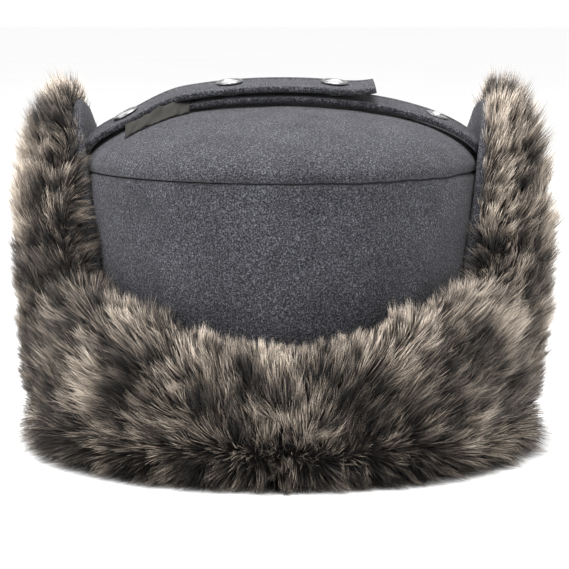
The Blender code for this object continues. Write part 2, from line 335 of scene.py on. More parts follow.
def wool_material(name, shade=1.0):
    """Melton wool: short matted fibres in three greys, with soft mottling."""
    wool = bpy.context.scene.hat_wool
    material, graph, shader = finish_material(name, 0.92, sheen=0.05, specular=0.2)
    where = graph.add("ShaderNodeTexCoord", out="Object")
    fleck = graph.add("ShaderNodeTexNoise", {"Vector": where, "Scale": 1.0 / wool.fleck, "Detail": 4.0,
                                             "Roughness": 0.75, "Lacunarity": 2.3})
    # shade scales every wool colour; above 1.0 it paints light, as on the straps' copy.
    colours = [[shade * c for c in stop] for stop in (wool.dark, wool.middle, wool.light)]
    base = graph.ramp(fleck, [(0.36, colours[0]), (0.50, colours[1]), (0.66, colours[2])])
    hair = graph.add("ShaderNodeTexNoise", {"Vector": where, "Scale": 2.6 / wool.fleck, "Detail": 2.0,
                                            "Distortion": 1.2})
    pale = graph.ramp(hair, [(0.60, (0.0, 0.0, 0.0)), (0.74, (1.0, 1.0, 1.0))])
    base = graph.mix(graph.math("MULTIPLY", pale, 0.34), base, [shade * 1.7 * c for c in wool.light])
    cloud = graph.add("ShaderNodeTexNoise", {"Vector": where, "Scale": 55.0, "Detail": 3.0})
    shadow = graph.ramp(cloud, [(0.30, (0.78, 0.78, 0.79)), (0.70, (1.12, 1.12, 1.11))])
    base = graph.mix(1.0, base, shadow, "MULTIPLY")
    graph.tree.links.new(base, shader.inputs["Base Color"])
    felt = graph.add("ShaderNodeTexNoise", {"Vector": where, "Scale": 1.4 / wool.fleck, "Detail": 5.0,
                                            "Roughness": 0.7})
    bumped(graph, shader, felt, 0.55, 0.0006)
    return material


def fur_material(name):
    """Fur: colour runs from a dark root to a pale tip, and each hair has its own tone."""
    fur = bpy.context.scene.hat_fur
    material, graph, shader = finish_material(name, 0.62, sheen=0.05, specular=0.25)
    strand = graph.add("ShaderNodeUVMap", uv_map="OFBake")
    parts = graph.add("ShaderNodeSeparateXYZ", {0: strand}, out=None)
    tone = graph.math("MULTIPLY", graph.math("SUBTRACT", parts.outputs[0], 0.5), 0.95)
    along = graph.math("ADD", graph.math("MULTIPLY", graph.math("POWER", parts.outputs[1], 1.25), 0.92), tone,
                       clamp=True)
    root, deep, middle, pale, tip = fur.root, fur.deep, fur.middle, fur.pale, fur.tip
    hair = graph.ramp(along, [(0.0, root), (0.30, deep), (0.55, middle), (0.78, pale), (1.0, tip)])
    graph.tree.links.new(hair, shader.inputs["Base Color"])
    return material


def pelt_material(name):
    """The dark knit backing that the pile stands on."""
    fur = bpy.context.scene.hat_fur
    material, graph, shader = finish_material(name, 0.95, specular=0.1)
    where = graph.add("ShaderNodeTexCoord", out="Object")
    knit = graph.add("ShaderNodeTexNoise", {"Vector": where, "Scale": 900.0, "Detail": 3.0})
    colour = graph.ramp(knit, [(0.35, [0.5 * c for c in fur.root]), (0.65, fur.deep)])
    graph.tree.links.new(colour, shader.inputs["Base Color"])
    bumped(graph, shader, knit, 0.8, 0.001)
    return material


def satin_material(name):
    """Fine twill satin of the lining, with a faint thread line."""
    material, graph, shader = finish_material(name, 0.38, sheen=0.1, specular=0.5)
    where = graph.add("ShaderNodeTexCoord", out="Object")
    twill = graph.add("ShaderNodeTexWave", {"Vector": where, "Scale": 420.0, "Distortion": 1.0},
                      wave_type="BANDS", bands_direction="DIAGONAL")
    soft = graph.add("ShaderNodeTexNoise", {"Vector": where, "Scale": 60.0, "Detail": 2.0})
    colour = graph.ramp(soft, [(0.3, (0.030, 0.037, 0.055)), (0.7, (0.050, 0.060, 0.086))])
    colour = graph.mix(graph.math("MULTIPLY", twill, 0.25), colour, (0.075, 0.085, 0.115))
    graph.tree.links.new(colour, shader.inputs["Base Color"])
    bumped(graph, shader, twill, 0.25, 0.0002)
    return material


def ribbon_material(name, dark, light, scale=700.0):
    """Ribbed ribbon for the sweatband, the tape and the label."""
    material, graph, shader = finish_material(name, 0.75, specular=0.3)
    where = graph.add("ShaderNodeTexCoord", out="Object")
    ribs = graph.add("ShaderNodeTexWave", {"Vector": where, "Scale": scale, "Distortion": 0.6, "Detail": 1.0},
                     wave_type="BANDS", bands_direction="Z")
    grain = graph.add("ShaderNodeTexNoise", {"Vector": where, "Scale": 1300.0, "Detail": 2.0})
    both = graph.math("ADD", graph.math("MULTIPLY", ribs, 0.6), graph.math("MULTIPLY", grain, 0.4))
    graph.tree.links.new(graph.ramp(both, [(0.25, dark), (0.8, light)]), shader.inputs["Base Color"])
    bumped(graph, shader, both, 0.5, 0.0003)
    return material


def metal_material(name, dark, light, roughness):
    """Plated snap metal with fine wear."""
    material, graph, shader = finish_material(name, roughness, metallic=1.0)
    where = graph.add("ShaderNodeTexCoord", out="Object")
    wear = graph.add("ShaderNodeTexNoise", {"Vector": where, "Scale": 650.0, "Detail": 4.0})
    graph.tree.links.new(graph.ramp(wear, [(0.35, dark), (0.65, light)]), shader.inputs["Base Color"])
    bumped(graph, shader, wear, 0.1, 0.0001)
    return material


def thread_material(name, colour):
    """Twisted sewing thread."""
    material, graph, shader = finish_material(name, 0.6, specular=0.3)
    where = graph.add("ShaderNodeTexCoord", out="Object")
    twist = graph.add("ShaderNodeTexNoise", {"Vector": where, "Scale": 2500.0, "Detail": 2.0})
    stops = [(0.35, [0.6 * c for c in colour]), (0.65, [1.3 * c for c in colour])]
    graph.tree.links.new(graph.ramp(twist, stops), shader.inputs["Base Color"])
    return material


def wool():
    return material_called("melton_wool_cloth", wool_material)


def strap_wool():
    # Painted light: the straps' wool is the crown's wool made 5% paler, for the straps' tops lit from above.
    return material_called("strap_wool_cloth_painted_light", lambda name: wool_material(name, 1.05))


def thread():
    return material_called("grey_thread", lambda name: thread_material(name, (0.05, 0.052, 0.06)))


# ---------------------------------------------------------------- geometry node trees

def node_tree(name, sockets):
    """A geometry node tree: (tree, graph, its input node's sockets by name)."""
    tree = bpy.data.node_groups.new(name, "GeometryNodeTree")
    face = tree.interface
    face.new_socket("Geometry", in_out="INPUT", socket_type="NodeSocketGeometry")
    for label, kind, value in sockets:
        socket = face.new_socket(label, in_out="INPUT", socket_type=kind)
        if value is not None:
            socket.default_value = value
    face.new_socket("Geometry", in_out="OUTPUT", socket_type="NodeSocketGeometry")
    source = tree.nodes.new("NodeGroupInput")
    return tree, Graph(tree), source.outputs


def end_tree(graph, geometry, material):
    whole = graph.add("GeometryNodeRealizeInstances", {0: geometry})
    done = graph.add("GeometryNodeSetMaterial", {"Geometry": whole, "Material": material})
    graph.add("NodeGroupOutput", {0: done}, out=None)


def stored(graph, geometry, name, kind, value, domain="POINT"):
    return graph.add("GeometryNodeStoreNamedAttribute", {"Geometry": geometry, "Name": name, "Value": value},
                     data_type=kind, domain=domain)


def recalled(graph, name, kind="FLOAT"):
    return graph.add("GeometryNodeInputNamedAttribute", {"Name": name}, out="Attribute", data_type=kind)


def fur_tree():
    """Hairs on a pelt. They follow the comb, gather into locks, and taper to a point."""
    sockets = [
        ("Hairs per Square Metre", "NodeSocketFloat", 1.0e6),
        ("Hair Length", "NodeSocketFloat", 0.03),
        ("Hair Width", "NodeSocketFloat", 0.0004),
        ("Lock Size", "NodeSocketFloat", 0.01),
        ("Lock Pull", "NodeSocketFloat", 0.6),
        ("Lift", "NodeSocketFloat", 1.0),
        ("Lay", "NodeSocketFloat", 0.8),
        ("Stray", "NodeSocketFloat", 0.3),
        ("Floor", "NodeSocketFloat", 0.0008),
        ("Seed", "NodeSocketInt", 1),
        ("Hair Material", "NodeSocketMaterial", None),
    ]
    tree, g, given = node_tree("fur_pile", sockets)
    cover = recalled(g, "cover")
    density = g.math("MULTIPLY", given["Hairs per Square Metre"], cover)
    roots = g.add("GeometryNodeDistributePointsOnFaces",
                  {"Mesh": given["Geometry"], "Density": density, "Seed": given["Seed"]}, out=None,
                  distribute_method="RANDOM")
    where = g.add("GeometryNodeInputPosition")
    comb = recalled(g, "comb", "FLOAT_VECTOR")
    swirl = g.add("ShaderNodeTexNoise", {"Vector": where, "Scale": 38.0, "Detail": 2.0}, out="Color")
    swirl = g.vector("SUBTRACT", swirl, (0.5, 0.5, 0.5))
    curl = g.add("ShaderNodeTexNoise", {"Vector": where, "Scale": 170.0, "Detail": 1.0}, out="Color")
    curl = g.vector("SUBTRACT", curl, (0.5, 0.5, 0.5))
    comb = g.vector("ADD", g.vector("ADD", comb, g.scaled(swirl, 1.6)), g.scaled(curl, 1.5))
    comb = g.vector("NORMALIZE", comb)
    single = g.add("FunctionNodeRandomValue", {"Min": (-1.0, -1.0, -1.0), "Max": (1.0, 1.0, 1.0), "Seed": 5},
                   out="Value", data_type="FLOAT_VECTOR")
    chance = g.add("FunctionNodeRandomValue", {"Min": 0.0, "Max": 1.0, "Seed": 9}, out="Value",
                   data_type="FLOAT")
    chance_two = g.add("FunctionNodeRandomValue", {"Min": 0.0, "Max": 1.0, "Seed": 11}, out="Value",
                       data_type="FLOAT")

    def lock(size):
        cell = g.add("ShaderNodeTexVoronoi", {"Vector": where, "Scale": g.math("DIVIDE", 1.0, size)},
                     out=None)
        pull = g.vector("SUBTRACT", cell.outputs["Position"], where)
        shade = g.vector("SUBTRACT", cell.outputs["Color"], (0.5, 0.5, 0.5))
        return pull, shade

    big_pull, big_shade = lock(given["Lock Size"])
    small_pull, small_shade = lock(g.math("MULTIPLY", given["Lock Size"], 0.42))
    pull = g.vector("ADD", g.scaled(big_pull, 0.35), g.scaled(small_pull, 1.05))
    pull = g.scaled(pull, given["Lock Pull"])
    stray = g.vector("ADD", g.scaled(big_shade, 1.1), g.scaled(small_shade, 0.7))
    stray = g.vector("ADD", stray, g.scaled(single, 0.42))
    stray = g.scaled(stray, given["Stray"])
    split = g.add("ShaderNodeSeparateXYZ", {0: big_shade}, out=None)
    fine = g.add("ShaderNodeSeparateXYZ", {0: small_shade}, out=None)
    length = g.math("MULTIPLY", given["Hair Length"], recalled(g, "pile"))
    vary = g.math("ADD", 0.76, g.math("MULTIPLY", chance, 0.28))
    vary = g.math("ADD", vary, g.math("MULTIPLY", split.outputs[0], 0.24))
    length = g.math("MULTIPLY", length, vary)
    patch = g.add("ShaderNodeTexNoise", {"Vector": where, "Scale": 34.0, "Detail": 3.0, "Roughness": 0.6})
    tone = g.math("MULTIPLY", g.math("SUBTRACT", patch, 0.5), 2.1)
    tone = g.math("ADD", tone, g.math("MULTIPLY", split.outputs[1], 0.42))
    tone = g.math("ADD", tone, g.math("MULTIPLY", fine.outputs[1], 0.52))
    tone = g.math("ADD", tone, g.math("MULTIPLY", g.math("SUBTRACT", chance_two, 0.5), 0.38))
    # The shade attribute adds the cuff's tone, with painted shade at the bottom and painted light at the
    # flanks.
    tone = g.math("ADD", tone, recalled(g, "shade"))
    tone = g.math("ADD", tone, 0.435)
    tone = g.math("MINIMUM", g.math("MAXIMUM", tone, 0.03), 0.97)

    points = roots.outputs["Points"]
    for key, kind, value in (
        ("root", "FLOAT_VECTOR", where), ("out", "FLOAT_VECTOR", roots.outputs["Normal"]),
        ("flow", "FLOAT_VECTOR", comb), ("pull", "FLOAT_VECTOR", pull), ("stray", "FLOAT_VECTOR", stray),
        ("reach", "FLOAT", length), ("tone", "FLOAT", tone),
    ):
        points = stored(g, points, key, kind, value)

    spike = g.add("GeometryNodeMeshCone", {"Vertices": 3, "Side Segments": 3, "Fill Segments": 1,
                                           "Radius Top": 0.0, "Radius Bottom": 1.0, "Depth": 1.0},
                  out="Mesh", fill_type="NGON")
    shape = g.add("ShaderNodeSeparateXYZ", {0: g.add("GeometryNodeInputPosition")}, out=None)
    spike = stored(g, spike, "along", "FLOAT", shape.outputs[2])
    spike = stored(g, spike, "aside", "FLOAT", shape.outputs[0])
    spike = stored(g, spike, "across", "FLOAT", shape.outputs[1])
    hairs = g.add("GeometryNodeInstanceOnPoints", {"Points": points, "Instance": spike})
    hairs = g.add("GeometryNodeRealizeInstances", {0: hairs})

    t = recalled(g, "along")
    t_two = g.math("MULTIPLY", t, t)
    reach = recalled(g, "reach")
    out_dir = recalled(g, "out", "FLOAT_VECTOR")
    flow = recalled(g, "flow", "FLOAT_VECTOR")
    rise = g.math("MULTIPLY", given["Lift"], g.math("SUBTRACT", t, g.math("MULTIPLY", t_two, 0.36)))
    run = g.math("ADD", g.math("MULTIPLY", t, 0.35), g.math("MULTIPLY", t_two, 0.65))
    run = g.math("MULTIPLY", given["Lay"], run)
    line = g.vector("ADD", g.scaled(out_dir, rise), g.scaled(flow, run))
    bend = g.math("POWER", t, 1.5)
    line = g.vector("ADD", line, g.scaled(recalled(g, "stray", "FLOAT_VECTOR"), bend))
    line = g.scaled(line, reach)
    line = g.vector("ADD", line, g.scaled(recalled(g, "pull", "FLOAT_VECTOR"), bend))
    middle = g.vector("ADD", recalled(g, "root", "FLOAT_VECTOR"), line)

    rise_step = g.math("MULTIPLY", given["Lift"], g.math("SUBTRACT", 1.0, g.math("MULTIPLY", t, 0.72)))
    run_step = g.math("MULTIPLY", given["Lay"], g.math("ADD", 0.35, g.math("MULTIPLY", t, 1.3)))
    course = g.vector("ADD", g.scaled(out_dir, rise_step), g.scaled(flow, run_step))
    course = g.vector("NORMALIZE", course)
    beside = g.vector("NORMALIZE", g.vector("CROSS_PRODUCT", course, (0.31, 0.52, 0.79)))
    behind = g.vector("CROSS_PRODUCT", course, beside)
    girth = g.math("MULTIPLY", given["Hair Width"], g.math("ADD", 1.0, t))
    girth = g.math("MULTIPLY", girth, 0.5)
    thick = g.vector("ADD", g.scaled(beside, recalled(g, "aside")), g.scaled(behind, recalled(g, "across")))
    surface = g.vector("ADD", middle, g.scaled(thick, girth))
    parts = g.add("ShaderNodeSeparateXYZ", {0: surface}, out=None)
    level = g.math("MAXIMUM", parts.outputs[2], given["Floor"])
    surface = g.add("ShaderNodeCombineXYZ", {0: parts.outputs[0], 1: parts.outputs[1], 2: level})
    hairs = g.add("GeometryNodeSetPosition", {"Geometry": hairs, "Position": surface})

    wide = g.math("ADD", recalled(g, "tone"), g.math("MULTIPLY", recalled(g, "aside"), 0.006))
    strand_map = g.add("ShaderNodeCombineXYZ", {0: wide, 1: g.math("ADD", 0.01, g.math("MULTIPLY", t, 0.97))})
    hairs = stored(g, hairs, "OFBake", "FLOAT2", strand_map, "CORNER")
    end_tree(g, hairs, given["Hair Material"])
    return tree


def stitch_tree():
    """Evenly spaced stitches along the edges of a line mesh."""
    sockets = [
        ("Stitch Length", "NodeSocketFloat", 0.0026),
        ("Stitch Gap", "NodeSocketFloat", 0.0010),
        ("Thread Width", "NodeSocketFloat", 0.0006),
        ("Thread Material", "NodeSocketMaterial", None),
    ]
    tree, g, given = node_tree("stitch_line", sockets)
    line = g.add("GeometryNodeMeshToCurve", {"Mesh": given["Geometry"]})
    step = g.math("ADD", given["Stitch Length"], given["Stitch Gap"])
    line = g.add("GeometryNodeResampleCurve", {"Curve": line, "Length": step}, mode="LENGTH")
    points = g.add("GeometryNodeCurveToPoints", {"Curve": line}, out=None, mode="EVALUATED")
    stitch = g.add("GeometryNodeMeshUVSphere", {"Segments": 6, "Rings": 5, "Radius": 0.5}, out="Mesh")
    size = g.add("ShaderNodeCombineXYZ", {0: given["Thread Width"], 1: given["Thread Width"],
                                          2: given["Stitch Length"]})
    placed = g.add("GeometryNodeInstanceOnPoints", {
        "Points": points.outputs["Points"], "Instance": stitch, "Rotation": points.outputs["Rotation"],
        "Scale": size})
    end_tree(g, placed, given["Thread Material"])
    return tree


def grown(name, base, tree, values):
    """The plain mesh that a tree makes from a base mesh. The base is removed."""
    modifier = base.modifiers.new("grow", "NODES")
    modifier.node_group = tree
    keys = {item.name: item.identifier for item in tree.interface.items_tree if item.in_out == "INPUT"}
    for label, value in values.items():
        modifier[keys[label]] = value
    graph = bpy.context.evaluated_depsgraph_get()
    mesh = bpy.data.meshes.new_from_object(base.evaluated_get(graph))
    mesh.name = name
    for layer in list(mesh.attributes):
        if layer.name in ("along", "aside", "across", "root", "out", "flow", "pull", "stray", "reach", "tone",
                          "cover", "comb", "pile", "shade"):
            mesh.attributes.remove(layer)
    obj = bpy.data.objects.new(name, mesh)
    bpy.context.scene.collection.objects.link(obj)
    mesh.shade_smooth()
    bpy.data.objects.remove(base, do_unlink=True)
    return obj


def shared_tree(name, build):
    return bpy.data.node_groups.get(name) or build()


def stitches(name, lines, material, length=0.0026, gap=0.0010, width=0.0006):
    """Stitches along lists of points."""
    verts, edges = [], []
    for line in lines:
        start = len(verts)
        verts += [tuple(p) for p in line]
        edges += [(start + k, start + k + 1) for k in range(len(line) - 1)]
    mesh = bpy.data.meshes.new(name)
    mesh.from_pydata(verts, edges, [])
    base = bpy.data.objects.new(name + "_line", mesh)
    bpy.context.scene.collection.objects.link(base)
    return grown(name, base, shared_tree("stitch_line", stitch_tree), {
        "Stitch Length": length, "Stitch Gap": gap, "Thread Width": width, "Thread Material": material})


# ---------------------------------------------------------------- the cuff's fur

def comb_at(point, out_dir, share, z, top, sweep, tuck, tuck_top):
    """The way the pile is brushed: up and round on the cuff, down below its fold, and over the inner edge."""
    phi = math.atan2(point.x / SEAM_HALF[0], -point.y / SEAM_HALF[1])
    round_dir = Vector((math.cos(phi) * SEAM_HALF[0], math.sin(phi) * SEAM_HALF[1], 0.0)).normalized()
    if point.x < 0.0:
        round_dir = -round_dir
    turn = smooth((z - 0.008) / 0.014)
    low = Vector((0.0, 0.0, -0.8)) + out_dir * 0.75 + round_dir * 0.2 * smooth(abs(point.x) / 0.03)
    high = Vector((0.0, 0.0, 1.0)) + round_dir * sweep * turn
    comb = low.lerp(high, turn) + out_dir * 1.3 * (1.0 - abs(2.0 * turn - 1.0))
    over = smooth((0.30 - share) / 0.20) * smooth((z / top - 0.80) / 0.15)
    lean = 0.35 - (tuck + 0.35) * (1.0 - smooth((z - tuck_top) / 0.030))
    return (comb.normalized() + out_dir * lean * over).normalized()


def pelt_section(top, crest):
    """Round the underfur of one part of the cuff: (share of the pile outwards, height, length, cover)."""
    edge = top + 0.0015
    rows = [(0.00, 0.0040, 0.24, 0.0), (0.22, 0.0028, 0.56, 0.6), (0.44, 0.0034, 0.80, 1.0),
            (0.56, 0.0070, 0.90, 1.0), (0.60, 0.0110, 0.84, 1.0), (0.60, 0.0150, 0.72, 1.0),
            (0.61, 0.0200, 0.80, 1.0)]
    for k in range(1, 9):
        share = k / 8
        bulge = 0.63 + 0.03 * math.sin(math.pi * share)
        rows.append((bulge, 0.020 + (0.74 * edge - 0.020) * share, 1.0, 1.0))
    slim = 0.10 * smooth((top - 0.10) / 0.05)
    rows += [(0.57 - slim, 0.83 * edge, 0.95, 1.0), (0.47 - slim, 0.91 * edge, 0.5 + 0.5 * crest, 1.0),
             (0.33 - slim, 0.965 * edge, 0.2 + 0.8 * crest, 1.0),
             (0.17 - 0.5 * slim, 0.995 * edge, crest, 1.5), (0.05, edge, 0.95 * crest, 2.4),
             (0.0, 0.985 * edge, 0.9 * crest, 1.6), (0.0, 0.95 * edge, 0.30, 0.0)]
    rows += [(0.0, 0.95 * edge * k / 5, 0.3, 0.0) for k in (4, 3, 2, 1)]
    return rows


def pelt(name, side, columns, crest, tuck, tuck_top):
    """The underfur of one part of the cuff, and an open copy for hairs, with their comb, length and shade,
    which holds painted shade and painted light.
    """
    rows, comb, pile, cover, tone_and_painted_light = [], [], [], [], []
    for angle, top in columns:
        row = []
        for share, z, length, full in pelt_section(top, crest):
            point = place(side, angle, z, CUFF_FUR + FUR_PILE * share)
            out_dir = Vector((point.x / SEAM_HALF[0] ** 2, point.y / SEAM_HALF[1] ** 2, 0.0)).normalized()
            row.append(point)
            comb.append(tuple(comb_at(point, out_dir, share, z, top, cuff_sweep(point), tuck, tuck_top)))
            pile.append(length)
            cover.append(full)
            tone_and_painted_light.append(cuff_tone_and_painted_light(point, z))
        rows.append(row)
    material = material_called("fur_backing", pelt_material)
    base = tube_object(name + "_base", rows, [material], capped=False, attributes={
        "comb": ("FLOAT_VECTOR", comb), "pile": ("FLOAT", pile), "cover": ("FLOAT", cover),
        "shade": ("FLOAT", tone_and_painted_light)})
    return tube_object(name, rows, [material]), base


def cuff_sweep(point):
    """How far the pile is brushed round the hat rather than straight up."""
    back = smooth((0.02 - point.y) / 0.09)
    high = smooth((point.z - 0.075) / 0.07)
    return 1.45 * smooth(abs(point.x) / 0.095) * back * (1.0 - 0.75 * high)


def cuff_tone_and_painted_light(point, z):
    """How much paler the pile is here: painted shade round the bottom under the fold, darker on the left and
    a little paler on the right, and painted light at the flanks where light shines through the hair.
    """
    # Painted shade: the pile at the bottom, under the cuff's fold, is darker.
    low = -0.11 * (1.0 - smooth((z - 0.006) / 0.016))
    # Painted light: the pile at the flanks is paler, as where light shines through the hair at the outline.
    painted_flank_light = 0.10 * smooth((abs(point.x) - 0.112) / 0.009) * smooth((z - 0.018) / 0.02)
    right = 0.03 * smooth((point.x - 0.04) / 0.06)
    left = 0.12 * smooth((-point.x - 0.04) / 0.05) * smooth((0.125 - z) / 0.05)
    return low + painted_flank_light + (right - left)


def grow_fur(name, body, side, parts, seed, crest=0.42, tuck=0.0, tuck_top=0.118):
    """Underfur and hairs of one part of the cuff. parts: (name ending, columns) for each piece of fur."""
    fur = bpy.context.scene.hat_fur
    tree = shared_tree("fur_pile", fur_tree)
    hair = material_called("fur_hair", fur_material)
    share = 1.0
    for k, (ending, columns) in enumerate(parts):
        backing, base = pelt(f"{name}_backing{ending}", side, columns, crest, tuck, tuck_top)
        hairs = grown(f"{name}_pile{ending}", base, tree, {
            "Hairs per Square Metre": 1.0e4 * fur.hairs_per_cm2 * share, "Hair Length": fur.pile,
            "Hair Width": fur.hair_width / math.sqrt(share), "Lock Size": fur.lock_size,
            "Lock Pull": fur.lock_pull, "Lift": fur.lift, "Lay": fur.lay, "Stray": fur.stray,
            "Seed": seed + k, "Hair Material": hair})
        finish_piece(backing, body, "faux_fur", name + "_fur")
        finish_piece(hairs, body, "faux_fur", name + "_fur")


# ---------------------------------------------------------------- settings

class HatWoolSettings(bpy.types.PropertyGroup):
    """Colours and grain of the wool cloth."""

    dark: FloatVectorProperty(name="Dark Fibre", description="Darkest wool fibres", subtype="COLOR",
                              default=(0.0035, 0.0036, 0.0048))
    middle: FloatVectorProperty(name="Middle Fibre", description="Main wool colour", subtype="COLOR",
                                default=(0.0215, 0.0218, 0.0265))
    light: FloatVectorProperty(name="Light Fibre", description="Lightest wool fibres", subtype="COLOR",
                               default=(0.150, 0.150, 0.168))
    fleck: FloatProperty(name="Fleck Size", description="Size of the matted fibre flecks", default=0.0007,
                         unit="LENGTH")


class HatFurSettings(bpy.types.PropertyGroup):
    """Shape and colours of the pile."""

    hairs_per_cm2: FloatProperty(name="Hairs per cm2", default=126.0,
                                 description="How many hairs stand on a square centimetre")
    pile: FloatProperty(name="Pile Length", description="Length of the longest hairs", default=0.0165,
                        unit="LENGTH")
    hair_width: FloatProperty(name="Hair Width", description="Width of a hair near its root", default=0.00028,
                              unit="LENGTH")
    lock_size: FloatProperty(name="Lock Size", description="Width of a lock of hair", default=0.0068,
                             unit="LENGTH")
    lock_pull: FloatProperty(name="Lock Pull", default=0.62,
                             description="How far hairs gather into their lock")
    lift: FloatProperty(name="Lift", description="How far hairs stand off the backing", default=0.90)
    lay: FloatProperty(name="Lay", description="How far hairs lie along the comb", default=0.80)
    stray: FloatProperty(name="Stray", description="How untidy the hairs are", default=0.34)
    root: FloatVectorProperty(name="Root", description="Colour at the root", subtype="COLOR",
                              default=(0.0045, 0.0038, 0.0034))
    deep: FloatVectorProperty(name="Underfur", description="Colour a third of the way up", subtype="COLOR",
                              default=(0.019, 0.0155, 0.013))
    middle: FloatVectorProperty(name="Middle", description="Colour half way up", subtype="COLOR",
                                default=(0.108, 0.086, 0.069))
    pale: FloatVectorProperty(name="Pale", description="Colour near the tip", subtype="COLOR",
                              default=(0.340, 0.280, 0.224))
    tip: FloatVectorProperty(name="Tip", description="Colour of the palest tips", subtype="COLOR",
                             default=(0.680, 0.590, 0.490))


class HatStageSettings(bpy.types.PropertyGroup):
    """Camera, floor and lights."""

    distance: FloatProperty(name="Camera Distance", description="From the camera to the middle of the hat",
                            default=1.3, unit="LENGTH")
    height: FloatProperty(name="Camera Height", description="Height of the camera over the floor",
                          default=0.225, unit="LENGTH")
    pitch: FloatProperty(name="Camera Pitch", description="How far the camera looks down",
                         default=math.radians(6.5), subtype="ANGLE")
    lens: FloatProperty(name="Lens", description="Focal length on a 36 mm wide sensor, in millimetres",
                        default=168.0)
    soft_light: FloatProperty(name="Soft Light", description="Power of the large overhead light",
                              default=27.0, unit="POWER")


# ---------------------------------------------------------------- operators

def crown_puff(point, near_seam):
    """How far the wool stands in or out: soft lumps all over and small puckers beside the seam."""
    lumps = 0.0010 * ripple(point, 22.0, 3.0) + 0.0004 * ripple(point, 70.0, 7.0)
    phi = math.atan2(point[0], -point[1])
    pucker = 0.0007 * math.exp(-near_seam / 0.010) * ripple((phi * 8.0, point[2] * 12.0, 1.0), 1.6, 5.0)
    return lumps + pucker


def seam_wave(phi):
    """Height of the seam's small waves, which are on the right of the back."""
    return 0.0011 * ripple((phi * 7.0, 0.0, 0.0), 1.0, 9.0) * smooth((math.sin(phi) + 0.1) / 0.6)


class HAT_OT_crown(bpy.types.Operator):
    """Build the wool crown: side band, domed tip and the seam between them"""

    bl_idname = "hat.crown"
    bl_label = "Wool Crown"

    def execute(self, context):
        count = 160
        angles = [2.0 * math.pi * k / count for k in range(count)]

        def wall_point(phi, z, inset, lumpy):
            a, b = ring(z, -inset)
            p = Vector((a * math.sin(phi), -b * math.cos(phi), z))
            if lumpy:
                puff = crown_puff(p, SEAM_Z - z)
                p += Vector((math.sin(phi), -math.cos(phi), 0.0)) * puff
            return p

        outer = [(0.0030, 0.0098), (0.0012, 0.0093), (0.0003, 0.0100)]
        outer += [(0.0, HEM_Z + 0.002 + (SEAM_Z - 0.0035 - HEM_Z - 0.002) * k / 30) for k in range(31)]
        outer += [(0.0002, SEAM_Z - 0.0020), (0.0009, SEAM_Z - 0.0008), (0.0021, SEAM_Z - 0.0001)]
        inner = [(0.0034, SEAM_Z - 0.0006), (0.0034, 0.100), (0.0034, 0.060), (0.0034, 0.020)]
        rows = []
        for phi in angles:
            tight = 0.35 + 0.65 * smooth((math.sin(phi) * SEAM_HALF[0] + 0.06) / 0.09)
            row = [wall_point(phi, z, inset * (tight if z > 0.1 else 1.0), inset < 0.0025)
                   for inset, z in outer]
            row += [wall_point(phi, z, inset, False) for inset, z in inner]
            for p in row:
                p.z += seam_wave(phi) * smooth((p.z - SEAM_Z + 0.012) / 0.012)
            rows.append(row)
        band = tube_object("crown_side_wool", rows, [wool()], closed=True)
        finish_piece(band, "crown", "melton_wool", "crown_band_back", "crown_band_front", "band_batting")

        a0, b0 = SEAM_HALF
        rise = CROWN_TOP - SEAM_Z
        steps = 36
        profile = [(0.0024, -0.0002), (0.0012, 0.0004), (0.0004, 0.0014)]
        verts, faces = [], []
        for phi in angles:
            tight = 0.35 + 0.65 * smooth((math.sin(phi) * a0 + 0.06) / 0.09)
            for inset, lift in profile:
                inset, lift = inset * tight, 0.0007 + (lift - 0.0007) * tight
                verts.append(Vector(((a0 - inset) * math.sin(phi), -(b0 - inset) * math.cos(phi),
                                     SEAM_Z + lift + seam_wave(phi))))
            for k in range(1, steps):
                turn = 0.5 * math.pi * (0.05 + 0.95 * k / steps)
                a, b, z = a0 * math.cos(turn), b0 * math.cos(turn), rise * math.sin(turn)
                p = Vector((a * math.sin(phi), -b * math.cos(phi), SEAM_Z + z))
                away = Vector((p.x / a0 ** 2, p.y / b0 ** 2, z / rise ** 2)).normalized()
                p += away * (crown_puff(p, z) + 0.0004)
                p.z += seam_wave(phi) * smooth(1.0 - z / 0.010)
                verts.append(p)
            for k in range(steps - 1, 0, -6):
                turn = 0.5 * math.pi * k / steps
                a, b = (a0 - 0.0034) * math.cos(turn), (b0 - 0.0034) * math.cos(turn)
                z = (rise - 0.003) * math.sin(turn)
                verts.append(Vector((a * math.sin(phi), -b * math.cos(phi), SEAM_Z + z)))
        wide = len(verts) // count
        top_row = len(profile) + steps - 2
        for k in range(count):
            j = (k + 1) % count
            for m in range(wide):
                n = (m + 1) % wide
                if m != top_row:
                    faces.append((k * wide + m, k * wide + n, j * wide + n, j * wide + m))
        poles = [Vector((0.0, 0.0, CROWN_TOP + 0.0004 + crown_puff((0, 0, CROWN_TOP), rise))),
                 Vector((0.0, 0.0, CROWN_TOP - 0.0034))]
        for pole, m in zip(range(2), (top_row, top_row + 1)):
            centre = len(verts) + pole
            faces += [(centre, k * wide + m, ((k + 1) % count) * wide + m) for k in range(count)]
        tip = mesh_object("crown_tip_wool", verts + poles, faces, [wool()])
        finish_piece(tip, "crown", "melton_wool", "crown_tip", "tip_batting")
        return {"FINISHED"}


def quilt(u, v, pitch):
    """Height of a quilted pad from 0 on the sewn lines to 1 between them."""
    return abs(math.sin(math.pi * (u + v) / pitch) * math.sin(math.pi * (u - v) / pitch)) ** 0.45


